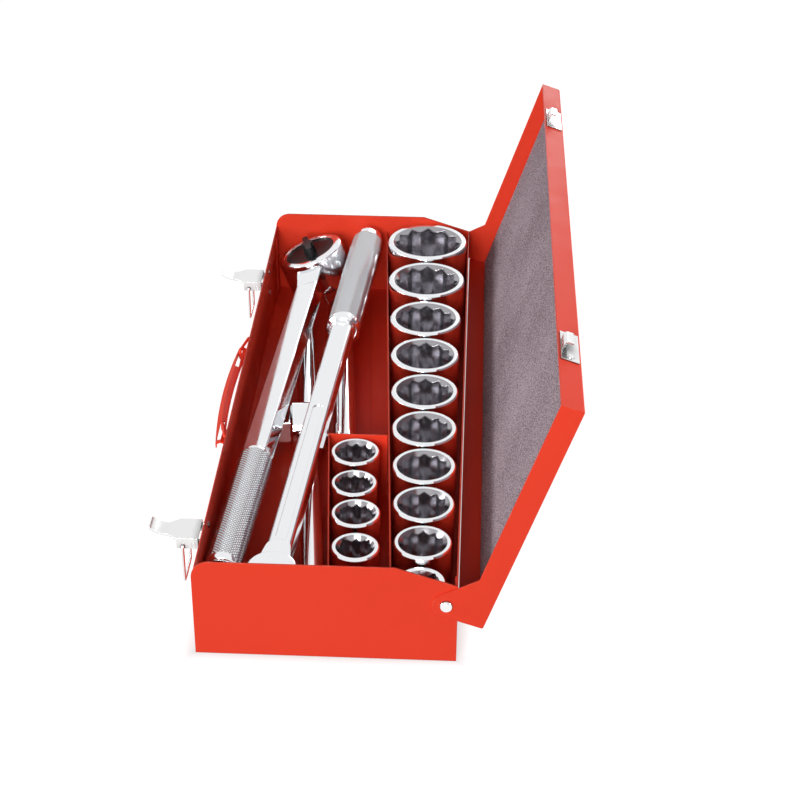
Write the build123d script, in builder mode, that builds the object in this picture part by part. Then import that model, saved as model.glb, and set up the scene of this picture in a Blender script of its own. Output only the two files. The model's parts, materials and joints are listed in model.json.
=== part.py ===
from build123d import *
from math import acos, atan2, cos, degrees, hypot, radians, sin, sqrt, tan
import os

os.makedirs("parts", exist_ok=True)

# Socket wrench set in a folded steel case, in millimetres and degrees.
# The origin is the centre of the case's underside. +X runs along the case, -Y is the front with
# its latches and handle, +Y is the hinge side, +Z is up.

# Case: a folded tray, closed by two end plates. Its length and depth follow from what it holds.
front_height = 62.5
rear_height = 61.8
end_height = 75.0
end_corner = 12.5
end_slope_run = 41.0
sheet = 1.0
bend = 2.2
flange_width = 16.0
flange_inset = 4.0

# Hinge and lid
hinge_inset = 7.5
hinge_height = 47.0
lid_open = 108.8
lid_side_gap = 0.5
lid_front_gap = 1.0
lid_top_gap = 0.3
lid_rear_gap = 0.6
lid_rear_lap = 3.2
lid_slit = 1.6
lid_slit_length = 9.0
lid_rim = 16.0
lid_edge_round = 1.4
ear_run = 36.0
rivet_radius = 2.5
rivet_head = 4.4
rivet_dome = 2.4
rivet_clinch = 1.2
head_gap = 0.2
pin_clearance = 0.05

# Foam sheet in the lid
foam_thick = 3.0
foam_end_gap = 0.7
foam_side_gap = 0.4

# Dividers
divider_sheet = 0.9
divider_height = 60.0
divider_rise = 30.5
divider_foot = 14.0
short_divider_height = 55.0
front_bay_far = 45.0
front_bay_near = 41.0
piece_gap = 0.3

# Sockets, by size across flats, in the order in which they stand from the far end
rear_row = (50, 46, 41, 38, 36, 34, 32, 30, 27, 19)
front_row = (24, 22, 23, 21)
socket_wall_rate = 1.28
socket_wall_base = 5.5
socket_least_width = 33.5
socket_length_rate = 0.6
socket_length_base = 38.0
socket_hub = 44.0
socket_hub_share = 0.25
socket_edge = 1.0
socket_lead_in = 4.5
socket_lead_wide = 1.3
rear_row_gap = 1.74
rear_row_clearance = 1.45
rear_row_lean = 0.3
front_row_gap = 4.5
front_row_first_gap = 2.5
front_row_last_gap = 37.5
front_row_wall_gap = 1.0
seat_gap = 0.2

# Square drive that all the tools share
drive_square = 19.0
drive_length = 20.0
drive_round = 1.5
drive_socket_gap = 0.15
ball_radius = 2.4
ball_proud = 1.0
ball_gap = 0.05

# Ratchet: head at the far end, grip at the near end, rolled so that its face tips to the front
ratchet_roll = 21.0
ratchet_head_radius = 29.5
ratchet_head_thick = 34.0
ratchet_head_round = 2.5
ratchet_head_end_gap = 6.3
ratchet_head_wall_gap = 4.9
ratchet_neck_start = 20.0
ratchet_neck_end = 47.0
ratchet_neck_width = 26.0
ratchet_neck_thick = 28.0
ratchet_neck_round = 4.0
ratchet_shank_width = 20.5
ratchet_shank_thick = 15.0
ratchet_shank_round = 2.0
ratchet_grip_length = 143.6
ratchet_grip_radius = 12.4
ratchet_grip_shoulder = 4.0
ratchet_grip_wall_gap = 0.5
ratchet_grip_end_gap = 0.7
ratchet_seat = 0.9
ratchet_rest_gap = 0.7
ratchet_floor = 5.0
gear_radius = 16.2
gear_teeth = 36
gear_tooth = 1.4
gear_thick = 20.0
cavity_radius = 20.4
cover_radius = 24.4
cover_thick = 3.0
cover_depth = 1.6
ring_width = 1.8
ring_thick = 1.2
carrier_thick = 1.8
selector_stem = 4.0
selector_length = 32.0
selector_width = 6.5
selector_height = 9.0
selector_turn = 17.0
selector_swing = 22.0
pawl_half_angle = 24.0
run_gap = 0.3

# Flex bar: fork at the near end, knurled grip at the far end
flex_end_gap = 2.8
flex_tool_gap = 2.6
flex_side_gap = 1.4
flex_rest_gap = 0.5
fork_radius = 17.0
fork_thick = 24.0
fork_run = 6.0
fork_end_gap = 4.8
fork_neck_radius = 12.5
fork_neck_thick = 19.0
fork_reach = 30.0
fork_gap = 0.2
knuckle_radius = 16.0
knuckle_thick = 12.0
flex_pin_radius = 4.0
flex_shank_width = 17.5
flex_shank_thick = 17.0
flex_shank_round = 3.5
flex_panel_width = 8.0
flex_panel_depth = 0.8
flex_panel_start = 40.0
flex_panel_length = 170.0
flex_grip_length = 168.0
flex_grip_radius = 13.5
flex_collar_radius = 10.5
flex_collar_length = 7.0
flex_head_reach = 44.0
flex_head_gap = 4.3
flex_head_collar = 7.0
flex_head_width = 20.0

# Sliding T bar, lying on its head
t_head_divider_gap = 64.5
t_head_side_gap = 1.0
t_bar_slant = 6.1
t_rod_radius = 8.5
t_rod_far_gap = 99.8
t_rod_near_gap = 42.0
t_head_radius = 19.3
t_head_front = 13.5
t_head_rear = 16.0
t_head_round = 2.0
t_rod_chamfer = 1.5

# Extension bar, lying on its socket end
extension_far_gap = 75.8
extension_near_gap = 32.5
extension_far_side = 39.8
extension_near_side = 33.5
extension_radius = 9.0
extension_end_radius = 15.0
extension_end_length = 38.0
extension_taper = 8.0
extension_ring = 1.2
extension_ring_length = 6.0

# Draw latches on the front wall
latch_inset = 73.8
latch_plate_width = 30.0
latch_plate_low = 28.0
latch_plate_high = 57.0
latch_sheet = 1.2
latch_pivot_out = 8.0
latch_pivot_height = 44.0
latch_ear_round = 3.2
latch_rivet_low = 5.0
latch_rivet_high = 4.0
latch_pivot_radius = 1.5
latch_pivot_head = 2.5
lever_width = 24.0
lever_tip_width = 14.0
lever_straight = 19.0
lever_reach = 31.5
lever_heel = 3.0
lever_curl = 5.0
lever_top = 4.2
lever_sheet = 1.4
lever_flange = 7.5
lever_flange_run = 12.0
lever_gap = 0.4
loop_out = 7.5
loop_drop = 1.0
loop_length = 29.0
loop_half_width = 13.5
wire_radius = 1.1
wire_bend = 1.4
small_rivet = 1.6
small_rivet_head = 2.7
small_rivet_dome = 1.0

# Keepers on the lid's front wall
keeper_width = 36.0
keeper_height = 12.5
keeper_low = 1.6
keeper_hook_width = 14.0
keeper_hook_out = 7.0
keeper_hook_high = 5.5
keeper_rivet_half = 13.0

# Carrying handle: an arched strap that slides on two wire staples in the front wall
strap_half = 72.0
strap_shift = 9.0
strap_travel = 24.0
strap_height = 50.0
strap_out = 9.9
strap_arch = 4.0
strap_width = 7.0
strap_fall = 1.6
strap_deep = 5.0
strap_sheet = 1.0
staple_half = 55.0
staple_foot = 76.0
staple_stem = 3.0
staple_out = 7.5
staple_wire = 1.2
staple_bend = 2.0
staple_gap = 0.3


def socket_width(size):
    """Outside diameter of a socket."""
    return max(socket_wall_rate * size + socket_wall_base, socket_least_width)


def socket_length(size):
    """Overall length of a socket."""
    return socket_length_base + socket_length_rate * size


def socket_mouth_depth(size):
    """Depth of the twelve-point mouth."""
    return socket_length(size) - drive_length - 0.25 * size


def row_length(row, gap):
    """Length of a row of standing sockets with a gap between them."""
    return sum(socket_width(size) for size in row) + (len(row) - 1) * gap


# The ratchet's rolled head, then the flex bar's grip, set how far the long divider is from the front wall
tip_cos = cos(radians(ratchet_roll))
tip_sin = sin(radians(ratchet_roll))
ratchet_face = ratchet_head_thick / 2
ratchet_head_side = ratchet_head_wall_gap + ratchet_head_radius * tip_cos + ratchet_face * tip_sin
flex_end_side = ratchet_head_side + ratchet_head_radius + flex_tool_gap + flex_grip_radius
tool_bay = flex_end_side + flex_grip_radius + flex_side_gap + divider_sheet / 2

# The rear row of sockets sets the case's length, and the largest socket with the tool bay its depth
inner_length = row_length(rear_row, rear_row_gap) + 2 * rear_row_gap
divider_slope = divider_rise / inner_length
first_width = socket_width(rear_row[0])
first_divider = tool_bay + divider_slope * (rear_row_gap + first_width / 2) + divider_sheet / 2
inner_depth = first_divider + first_width + rear_row_clearance
case_length = inner_length + 2 * sheet
case_depth = inner_depth + 2 * sheet

# Places that follow from the driving dimensions
half_length = case_length / 2
half_depth = case_depth / 2
inner_half = half_length - sheet
inner_rear = half_depth - sheet
front_face = -half_depth
inner_front = front_face + sheet
floor = sheet
latch_x = half_length - latch_inset
latch_rivet_heights = (latch_plate_low + latch_rivet_low, latch_plate_high - latch_rivet_high)
strap_y = front_face - strap_out
staple_y = front_face - staple_out
staple_high = strap_height + staple_wire + staple_gap
staple_low = strap_height - strap_deep - staple_wire - staple_gap
hinge_y = half_depth - hinge_inset
lid_half = half_length + lid_side_gap + sheet
lid_top = end_height + lid_top_gap + sheet - hinge_height
lid_front = front_face - lid_front_gap - sheet - hinge_y
lid_rear = hinge_inset + lid_rear_gap + sheet
lid_rim_low = lid_top - lid_rim
lid_rear_low = rear_height - lid_rear_lap - hinge_height
hinge_point = (0, hinge_y, hinge_height)
lid_normal = (0, sin(radians(lid_open)), cos(radians(lid_open)))
lid_plane = Plane(origin=hinge_point, x_dir=(1, 0, 0), z_dir=lid_normal)
lid_side = Plane(origin=hinge_point, x_dir=lid_plane.y_dir, z_dir=(1, 0, 0))
ALONG_X = (0, 90, 0)
ALONG_Y = (90, 0, 0)
LOW = (Align.CENTER, Align.CENTER, Align.MIN)


def keep(builder, name):
    """Label a finished piece and write it as its own file."""
    builder.part.label = name
    export_step(builder.part, f"parts/{name}.step")


def tool_plane(start, end, roll=0.0):
    """Frame of a lying tool: x runs from start to end, z is its upper side, tipped to -Y by roll."""
    x_dir = (Vector(*end) - Vector(*start)).normalized()
    side = Vector(0, 0, 1).cross(x_dir).normalized()
    upright = x_dir.cross(side)
    z_dir = upright * cos(radians(roll)) - Vector(0, 1, 0) * sin(radians(roll))
    z_dir = (z_dir - x_dir * z_dir.dot(x_dir)).normalized()
    return Plane(origin=start, x_dir=x_dir, z_dir=z_dir)


def end_on(plane, distance=0.0):
    """Plane across a tool's long axis, at a distance along it."""
    origin = plane.origin + plane.x_dir * distance
    return Plane(origin=origin, x_dir=plane.y_dir, z_dir=plane.x_dir)


def reach(start, end):
    """Distance between two places."""
    return (Vector(*end) - Vector(*start)).length


# Tray: floor, front wall and rear wall folded from one sheet
with BuildPart() as case_tray:
    with BuildSketch(Plane.YZ):
        with BuildLine():
            Polyline(
                (front_face + sheet / 2, front_height),
                (front_face + sheet / 2, sheet / 2),
                (half_depth - sheet / 2, sheet / 2),
                (half_depth - sheet / 2, rear_height),
            )
        trace(line_width=sheet)
    extrude(amount=inner_half, both=True)
    fillet(case_tray.edges().filter_by(Axis.X).group_by(Axis.Z)[0], bend)
    inner_folds = case_tray.edges().filter_by(Axis.X).filter_by_position(Axis.Z, floor - 0.01, floor + 0.01)
    fillet(inner_folds, bend - sheet)
    for latch in (-latch_x, latch_x):
        for height in latch_rivet_heights:
            with Locations((latch, front_face, height)):
                Cylinder(small_rivet, 4 * sheet, rotation=ALONG_Y, mode=Mode.SUBTRACT)
    for side in (-1, 1):
        for hole_x, hole_z in ((staple_foot, staple_high), (staple_half, staple_low)):
            with Locations((side * hole_x, front_face, hole_z)):
                Cylinder(staple_wire + pin_clearance, 4 * sheet, rotation=ALONG_Y, mode=Mode.SUBTRACT)
keep(case_tray, "case_tray")

# End plates, with flanges folded inwards along the front and rear walls
for side, name in ((1, "case_end_near"), (-1, "case_end_far")):
    flange_middle = side * (inner_half - flange_width / 2)
    with BuildPart() as case_end:
        with BuildSketch(Plane.YZ.offset(side * inner_half)):
            with BuildLine():
                Polyline(
                    (front_face, end_height - end_corner),
                    (front_face, 0),
                    (half_depth, 0),
                    (half_depth, rear_height),
                    (half_depth - end_slope_run, end_height),
                    (front_face + end_corner, end_height),
                )
                CenterArc((front_face + end_corner, end_height - end_corner), end_corner, 90, 90)
            make_face()
        extrude(amount=side * sheet)
        flange_y = half_depth - 1.5 * sheet
        for wall, height in ((-flange_y, front_height), (flange_y, rear_height)):
            flange_height = height - 2 * flange_inset
            with Locations((flange_middle, wall, height / 2)):
                Box(flange_width, sheet, flange_height)
        with Locations((side * inner_half, hinge_y, hinge_height)):
            Cylinder(rivet_radius, 4 * sheet, rotation=ALONG_X, mode=Mode.SUBTRACT)
    keep(case_end, name)

# Long slanted divider with a foot on the floor
divider_span = inner_length - 2 * piece_gap
divider_middle_y = inner_front + tool_bay + divider_rise / 2
divider_turn = degrees(atan2(divider_rise, inner_length))
front_bay_length = row_length(front_row, front_row_gap) + front_row_first_gap + front_row_last_gap
short_divider_x = inner_half - front_bay_length - divider_sheet / 2


def divider_y(x):
    """Middle of the long divider's wall at a place along the case."""
    return divider_middle_y + divider_slope * x


with BuildPart() as long_divider:
    with BuildSketch(Plane.XY.offset(floor)):
        with Locations(Location((0, divider_middle_y, 0), (0, 0, divider_turn))):
            Rectangle(divider_span, divider_sheet)
    extrude(amount=divider_height - floor)
    foot_far = -inner_half + flange_width
    foot_near = short_divider_x - divider_foot
    with BuildSketch(Plane.XY.offset(floor)):
        with Locations(Location((0, divider_middle_y, 0), (0, 0, divider_turn))):
            with Locations(((foot_far + foot_near) / 2, -divider_foot / 2)):
                Rectangle(foot_near - foot_far, divider_foot)
    extrude(amount=divider_sheet)
keep(long_divider, "long_divider")

# Short divider: a cross wall and a side wall folded from one strip
short_end_x = inner_half - piece_gap
short_corner_x = short_divider_x + divider_sheet / 2
short_divider_corner_y = divider_y(short_divider_x) - front_bay_far
short_divider_near_y = divider_y(inner_half) - front_bay_near
short_slope = (short_divider_near_y - short_divider_corner_y) / (short_end_x - short_corner_x)


def short_divider_y(x):
    """Middle of the short divider's side wall at a place along the case."""
    return short_divider_corner_y + short_slope * (x - short_corner_x)


with BuildPart() as short_divider:
    with BuildSketch(Plane.XY.offset(floor)):
        with BuildLine():
            Polyline(
                (short_divider_x, divider_y(short_divider_x) - divider_sheet - piece_gap),
                (short_divider_x, short_divider_corner_y),
                (short_end_x, short_divider_near_y),
            )
        trace(line_width=divider_sheet)
    extrude(amount=short_divider_height - floor)
keep(short_divider, "short_divider")


# Sockets
def make_socket(size, x, y):
    """Twelve-point socket that stands on its drive end."""
    base = Plane(origin=(x, y, floor + seat_gap))
    profile = Plane(origin=base.origin, x_dir=(1, 0, 0), z_dir=(0, -1, 0))
    mouth = socket_width(size) / 2
    length = socket_length(size)
    hub = min(mouth, (socket_hub + socket_hub_share * (2 * mouth - socket_hub)) / 2)
    shoulder = drive_length + 0.2 * size
    depth = socket_mouth_depth(size)
    points_radius = size / 2 / cos(radians(30))
    with BuildPart(base) as socket:
        with BuildSketch(profile):
            with BuildLine():
                Polyline(
                    (0, 0),
                    (hub - socket_edge, 0),
                    (hub, socket_edge),
                    (hub, shoulder - (mouth - hub) / 2),
                    (mouth, shoulder + (mouth - hub) / 2 + socket_edge),
                    (mouth, length - socket_edge),
                    (mouth - socket_edge, length),
                    (0, length),
                    close=True,
                )
            make_face()
        revolve(axis=Axis(base.origin, (0, 0, 1)))
        with BuildSketch(base.offset(length - depth)):
            RegularPolygon(size / 2, 6, major_radius=False)
            RegularPolygon(size / 2, 6, major_radius=False, rotation=30)
        extrude(amount=depth, mode=Mode.SUBTRACT)
        with Locations((0, 0, length - socket_lead_in)):
            Cone(0.49 * size, points_radius + socket_lead_wide, socket_lead_in, align=LOW, mode=Mode.SUBTRACT)
        with Locations((0, 0, drive_length)):
            Cylinder(0.44 * size, length, align=LOW, mode=Mode.SUBTRACT)
        with BuildSketch(base):
            opening = drive_square + 2 * drive_socket_gap
            RectangleRounded(opening, opening, drive_round)
        extrude(amount=length, mode=Mode.SUBTRACT)
    keep(socket, f"socket_{size}mm")


socket_places = {}
next_x = -inner_half + rear_row_gap
for size in rear_row:
    middle_x = next_x + socket_width(size) / 2
    wall_y = divider_y(middle_x) + divider_sheet / 2
    free_width = inner_rear - wall_y - socket_width(size)
    socket_places[size] = (middle_x, wall_y + rear_row_lean * free_width + socket_width(size) / 2)
    next_x = middle_x + socket_width(size) / 2 + rear_row_gap
next_x = short_corner_x + front_row_first_gap
for size in front_row:
    middle_x = next_x + socket_width(size) / 2
    wall_y = short_divider_y(middle_x) + divider_sheet / 2 + front_row_wall_gap
    socket_places[size] = (middle_x, wall_y + socket_width(size) / 2)
    next_x = middle_x + socket_width(size) / 2 + front_row_gap
for size, (socket_x, socket_y) in socket_places.items():
    make_socket(size, socket_x, socket_y)

# Lid: one folded sheet with an ear at each end, standing open
ear_corner = (lid_rear - ear_run, lid_rim_low)
ear_far = hypot(*ear_corner)
ear_touch = atan2(ear_corner[1], ear_corner[0]) + acos(lid_rear / ear_far)
ear_touch_point = (lid_rear * cos(ear_touch), lid_rear * sin(ear_touch))
lid_inner_width = 2 * (lid_half - sheet)
with BuildPart(lid_plane) as lid_shell:
    with BuildSketch(lid_side):
        with BuildLine():
            Polyline(
                (lid_rear, 0),
                (lid_rear, lid_top),
                (lid_front, lid_top),
                (lid_front, lid_rim_low),
                ear_corner,
                ear_touch_point,
            )
            CenterArc((0, 0), lid_rear, degrees(ear_touch), 360 - degrees(ear_touch))
        make_face()
    extrude(amount=lid_half, both=True)
    top_face = lid_shell.faces().sort_by(Axis(hinge_point, lid_normal))[-1]
    fillet(top_face.edges(), lid_edge_round)
    with Locations((0, (lid_front + lid_rear) / 2, lid_top - sheet - end_height)):
        Box(lid_inner_width, lid_rear - lid_front - 2 * sheet, end_height, align=LOW, mode=Mode.SUBTRACT)
    with Locations((0, 0, lid_rear_low - end_height)):
        Box(lid_inner_width, 2 * ear_run, end_height, align=LOW, mode=Mode.SUBTRACT)
    for side in (-1, 1):
        with Locations((side * (lid_inner_width - lid_slit) / 2, lid_rear, lid_rear_low)):
            Box(lid_slit, 4 * sheet, lid_slit_length, align=LOW, mode=Mode.SUBTRACT)
    Cylinder(rivet_radius + pin_clearance, 3 * lid_half, rotation=ALONG_X, mode=Mode.SUBTRACT)
    keeper_middle = lid_rim_low + keeper_low + keeper_height / 2
    for latch in (-latch_x, latch_x):
        for offset_x in (-keeper_rivet_half, keeper_rivet_half):
            with Locations((latch + offset_x, lid_front, keeper_middle)):
                Cylinder(small_rivet, 4 * sheet, rotation=ALONG_Y, mode=Mode.SUBTRACT)
keep(lid_shell, "lid_shell")

# Foam sheet glued inside the lid, clear of the end plates when the lid is shut
with BuildPart(lid_plane) as lid_foam:
    foam_depth = lid_rear - lid_front - 2 * sheet - 2 * foam_side_gap
    with Locations((0, (lid_front + lid_rear) / 2, lid_top - sheet - foam_thick)):
        Box(2 * (inner_half - foam_end_gap), foam_depth, foam_thick, align=LOW)
keep(lid_foam, "lid_foam")

# Hinge rivets through the ears and the end plates
with BuildPart() as hinge_rivets:
    for side in (-1, 1):
        shank_in = inner_half - rivet_clinch
        shank_out = lid_half + head_gap
        rivet_plane = Plane(origin=(0, hinge_y, hinge_height), x_dir=(0, 1, 0), z_dir=(side, 0, 0))
        with BuildSketch(rivet_plane.offset(shank_in)):
            Circle(rivet_radius)
        extrude(amount=shank_out - shank_in)
        with BuildSketch(rivet_plane.offset(shank_in)):
            Circle(rivet_head - 0.6)
        extrude(amount=rivet_clinch)
        with BuildSketch(rivet_plane.offset(shank_out)):
            Circle(rivet_head)
        extrude(amount=rivet_dome)
    for outer in (0, -1):
        fillet(hinge_rivets.edges().group_by(Axis.X)[outer], 0.9 * rivet_dome)
keep(hinge_rivets, "hinge_rivets")

# Latches
pivot_y = front_face - latch_pivot_out
loop_y = pivot_y - loop_out
loop_z = latch_pivot_height - loop_drop
flange_inner = lever_width / 2 - latch_sheet
ear_outer = flange_inner - lever_gap


def make_latch(x, end):
    """One draw latch: a riveted base, a lever that stands open, and its wire loop hanging down."""
    plate_height = latch_plate_high - latch_plate_low
    with BuildPart() as latch_base:
        with Locations((x, front_face - latch_sheet / 2, latch_plate_low + plate_height / 2)):
            Box(latch_plate_width, latch_sheet, plate_height)
        for side in (-1, 1):
            ear_x = x + side * (ear_outer - latch_sheet / 2)
            with BuildSketch(Plane.YZ.offset(ear_x - latch_sheet / 2)):
                with Locations((front_face - latch_pivot_out / 2, latch_pivot_height)):
                    Rectangle(latch_pivot_out, 2 * latch_ear_round)
                with Locations((pivot_y, latch_pivot_height)):
                    Circle(latch_ear_round)
            extrude(amount=latch_sheet)
        with Locations((x, pivot_y, latch_pivot_height)):
            Cylinder(latch_pivot_radius, 2 * latch_plate_width, rotation=ALONG_X, mode=Mode.SUBTRACT)
        for height in latch_rivet_heights:
            with Locations((x, front_face, height)):
                Cylinder(small_rivet, 4 * latch_sheet, rotation=ALONG_Y, mode=Mode.SUBTRACT)
    keep(latch_base, f"latch_base_{end}")

    with BuildPart() as latch_lever:
        lever_height = latch_pivot_height + lever_top
        with BuildSketch(Plane.YZ.offset(x)):
            with BuildLine():
                straight = Line((pivot_y + lever_heel, lever_height), (pivot_y - lever_straight, lever_height))
                TangentArc(
                    straight @ 1,
                    (pivot_y - lever_reach, lever_height + lever_curl),
                    tangent=straight % 1,
                )
            trace(line_width=lever_sheet)
        extrude(amount=lever_width / 2, both=True)
        with BuildSketch(Plane.XY.offset(latch_pivot_height)):
            with BuildLine():
                Polyline(
                    (x - lever_width / 2, pivot_y + 2 * latch_pivot_out),
                    (x - lever_width / 2, pivot_y - lever_flange_run),
                    (x - lever_tip_width / 2, pivot_y - lever_straight),
                    (x - lever_tip_width / 2, pivot_y - lever_reach + lever_tip_width / 4),
                    (x - lever_tip_width / 4, pivot_y - 2 * lever_reach),
                    (x + lever_tip_width / 4, pivot_y - 2 * lever_reach),
                    (x + lever_tip_width / 2, pivot_y - lever_reach + lever_tip_width / 4),
                    (x + lever_tip_width / 2, pivot_y - lever_straight),
                    (x + lever_width / 2, pivot_y - lever_flange_run),
                    (x + lever_width / 2, pivot_y + 2 * latch_pivot_out),
                    close=True,
                )
            make_face()
        extrude(amount=2 * lever_reach, mode=Mode.INTERSECT)
        for side in (-1, 1):
            flange_x = x + side * (lever_width - latch_sheet) / 2
            flange_y = pivot_y + (lever_heel - lever_flange_run) / 2
            with Locations((flange_x, flange_y, lever_height - lever_flange / 2)):
                Box(latch_sheet, lever_flange_run + lever_heel, lever_flange)
        with Locations((x, pivot_y, latch_pivot_height)):
            Cylinder(latch_pivot_radius + pin_clearance, lever_width, rotation=ALONG_X, mode=Mode.SUBTRACT)
        with Locations((x, loop_y, loop_z)):
            Cylinder(wire_radius + pin_clearance, lever_width, rotation=ALONG_X, mode=Mode.SUBTRACT)
    keep(latch_lever, f"latch_lever_{end}")

    with BuildPart() as latch_loop:
        with BuildLine() as wire:
            FilletPolyline(
                (x + flange_inner, loop_y, loop_z),
                (x + loop_half_width, loop_y, loop_z),
                (x + loop_half_width, loop_y, loop_z - loop_length),
                (x - loop_half_width, loop_y, loop_z - loop_length),
                (x - loop_half_width, loop_y, loop_z),
                (x - flange_inner, loop_y, loop_z),
                radius=wire_bend,
            )
        with BuildSketch(Plane(origin=wire.line @ 0, z_dir=wire.line % 0)):
            Circle(wire_radius)
        sweep()
    keep(latch_loop, f"latch_loop_{end}")


for latch, end in ((latch_x, "near"), (-latch_x, "far")):
    make_latch(latch, end)

# Stub pins that carry the levers in the ears of their bases
with BuildPart() as latch_pivots:
    for latch in (-latch_x, latch_x):
        for side in (-1, 1):
            stub_in = ear_outer - latch_sheet
            stub_out = lever_width / 2
            stub = Plane(origin=(latch, pivot_y, latch_pivot_height), x_dir=(0, 1, 0), z_dir=(side, 0, 0))
            with BuildSketch(stub.offset(stub_in)):
                Circle(latch_pivot_radius)
            extrude(amount=stub_out - stub_in)
            with BuildSketch(stub.offset(stub_in)):
                Circle(latch_pivot_head)
            extrude(amount=-latch_sheet)
keep(latch_pivots, "latch_pivots")


def wall_rivet(plane, grip):
    """Small rivet from a plane's outer face inwards, with a head at each end of its grip."""
    with BuildSketch(plane) as head:
        Circle(small_rivet_head)
    extrude(head.sketch, amount=small_rivet_dome, taper=30)
    with BuildSketch(plane) as shank:
        Circle(small_rivet)
    extrude(shank.sketch, amount=-grip)
    with BuildSketch(plane.offset(-grip)) as clinch:
        Circle(small_rivet_head - 0.5)
    extrude(clinch.sketch, amount=-0.8 * small_rivet_dome)


with BuildPart() as latch_rivets:
    for latch in (-latch_x, latch_x):
        for height in latch_rivet_heights:
            rivet_place = (latch, front_face - latch_sheet, height)
            wall_rivet(Plane(origin=rivet_place, x_dir=(1, 0, 0), z_dir=(0, -1, 0)), latch_sheet + sheet)
keep(latch_rivets, "latch_rivets")

# Keepers: a plate on the lid's front wall with an upturned hook for the wire loop
for latch, end in ((latch_x, "near"), (-latch_x, "far")):
    with BuildPart(lid_plane) as keeper:
        with Locations((latch, lid_front - sheet / 2, keeper_middle)):
            Box(keeper_width, sheet, keeper_height)
        hook_low = lid_rim_low + keeper_low + sheet
        with BuildSketch(lid_side.offset(latch)):
            with BuildLine():
                FilletPolyline(
                    (lid_front - sheet / 2, hook_low),
                    (lid_front - keeper_hook_out, hook_low),
                    (lid_front - keeper_hook_out, hook_low + keeper_hook_high),
                    radius=2,
                )
            trace(line_width=latch_sheet)
        extrude(amount=keeper_hook_width / 2, both=True)
        for offset_x in (-keeper_rivet_half, keeper_rivet_half):
            with Locations((latch + offset_x, lid_front, keeper_middle)):
                Cylinder(small_rivet, 4 * sheet, rotation=ALONG_Y, mode=Mode.SUBTRACT)
    keep(keeper, f"keeper_{end}")

with BuildPart() as keeper_rivets:
    lid_outward = lid_plane.y_dir * -1
    for latch in (-latch_x, latch_x):
        for offset_x in (-keeper_rivet_half, keeper_rivet_half):
            keeper_place = Vector(latch + offset_x, lid_front - sheet, keeper_middle)
            rivet_place = lid_plane.from_local_coords(keeper_place)
            wall_rivet(Plane(origin=rivet_place, x_dir=(1, 0, 0), z_dir=lid_outward), 2 * sheet)
keep(keeper_rivets, "keeper_rivets")

# Carrying handle: the strap's slots let it slide along the staples
with BuildPart() as handle_strap:
    with BuildLine() as strap_line:
        ThreePointArc(
            (strap_shift - strap_half, strap_y + strap_arch, strap_height),
            (strap_shift, strap_y, strap_height),
            (strap_shift + strap_half, strap_y + strap_arch, strap_height),
        )
    with BuildSketch(Plane(origin=strap_line.line @ 0, x_dir=(0, 0, 1), z_dir=strap_line.line % 0)):
        with BuildLine():
            side_y = (strap_width - strap_sheet) / 2
            Polyline(
                (-strap_deep, -side_y),
                (-strap_fall, -side_y),
                (-strap_sheet / 2, 0),
                (-strap_fall, side_y),
                (-strap_deep, side_y),
            )
        trace(line_width=strap_sheet)
    sweep()
    slot_width = 2 * (staple_wire + staple_gap)
    for side in (-1, 1):
        with Locations((strap_shift + side * staple_half, staple_y, strap_height)):
            Box(strap_travel + slot_width, slot_width, 4 * strap_deep, mode=Mode.SUBTRACT)
keep(handle_strap, "handle_strap")

for side, end in ((-1, "far"), (1, "near")):
    with BuildPart() as staple:
        with BuildLine() as staple_line:
            FilletPolyline(
                (side * staple_foot, inner_front, staple_high),
                (side * staple_foot, front_face - staple_stem, staple_high),
                (side * staple_half, staple_y, staple_high),
                (side * staple_half, staple_y, staple_low),
                (side * staple_half, inner_front, staple_low),
                radius=staple_bend,
            )
        with BuildSketch(Plane(origin=staple_line.line @ 0, z_dir=staple_line.line % 0)):
            Circle(staple_wire)
        sweep()
    keep(staple, f"handle_staple_{end}")


def square_drive(plane, length, turn=0.0):
    """Grow a square drive along a plane's normal, with a pocket for its ball; gives the ball's place."""
    with BuildSketch(plane) as square:
        RectangleRounded(drive_square, drive_square, drive_round, rotation=turn)
    extrude(square.sketch, amount=length)
    face_dir = plane.x_dir * cos(radians(turn)) + plane.y_dir * sin(radians(turn))
    ball_depth = drive_square / 2 + ball_proud - ball_radius
    ball_place = plane.origin + plane.z_dir * (length / 2) + face_dir * ball_depth
    pocket_floor = ball_place - face_dir * (ball_radius + ball_gap)
    with BuildSketch(Plane(origin=pocket_floor, z_dir=face_dir)) as pocket:
        Circle(ball_radius + ball_gap)
    extrude(pocket.sketch, amount=drive_square, mode=Mode.SUBTRACT)
    return ball_place


def make_ball(place, name):
    """Steel ball that holds a socket on its square."""
    with BuildPart() as ball:
        with Locations(place):
            Sphere(ball_radius)
    keep(ball, name)


# Where the tools lie: the ratchet rests on the square of the T bar's head, the flex bar on the head itself
drive_corner = drive_square / sqrt(2) - drive_round * (sqrt(2) - 1)
fork_x = inner_half - fork_end_gap - fork_radius
flex_end_x = -inner_half + flex_end_gap
ratchet_head_x = -inner_half + ratchet_head_end_gap + ratchet_head_radius
flex_fork_side = flex_head_gap + flex_head_reach
flex_head_lean = flex_head_reach * (flex_end_side - flex_fork_side) / (fork_x - flex_end_x)
ratchet_end_x = fork_x - flex_head_width / 2 - flex_head_lean - ratchet_grip_end_gap
t_head_x = short_divider_x - t_head_divider_gap
t_head_height = floor + seat_gap + t_head_radius

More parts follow.
